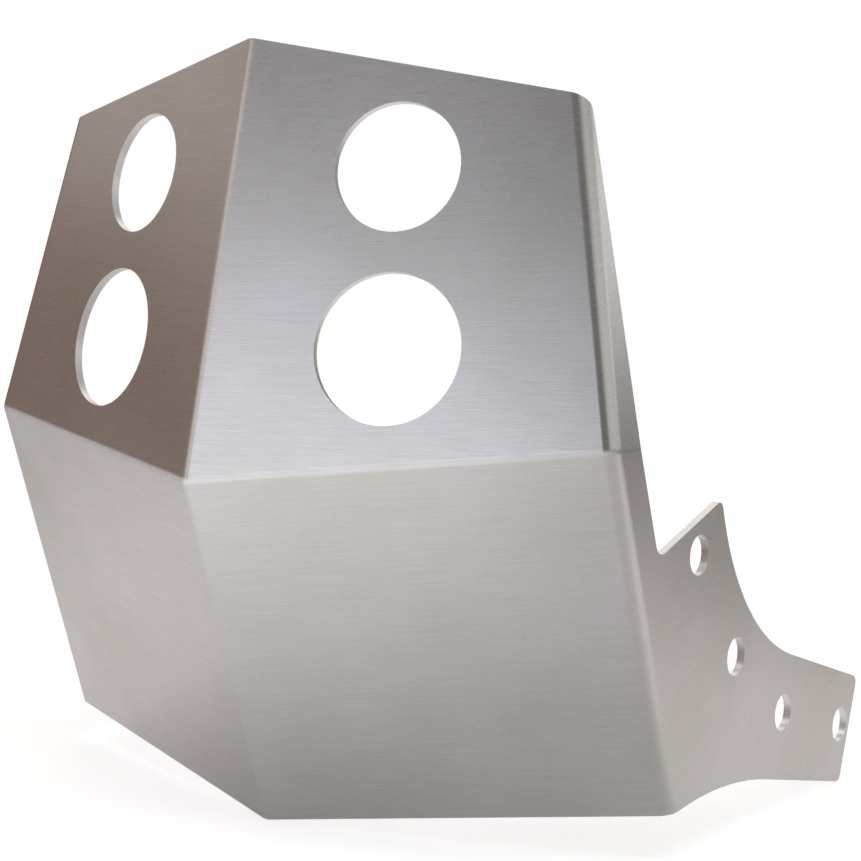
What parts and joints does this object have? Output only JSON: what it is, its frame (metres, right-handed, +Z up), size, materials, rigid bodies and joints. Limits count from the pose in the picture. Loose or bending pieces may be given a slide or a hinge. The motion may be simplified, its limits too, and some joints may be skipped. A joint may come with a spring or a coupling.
{
  "type": "motorcycle skid plate",
  "caption": "Prow-shaped motorcycle skid plate of folded brushed sheet with round vents and bolt-on side flanges.",
  "frame": {"origin": "middle of the footprint, on the level that the ridge's lower end and both tails stand on", "axes": "+X to the right as seen from the front, -Y forward along the prow, +Z up"},
  "size_m": [0.24, 0.2127, 0.2375],
  "materials": {
    "brushed_sheet": "brushed satin stainless sheet"
  },
  "bodies": {
    "root": {"skid_plate": "brushed_sheet"}
  },
  "joints": []
}
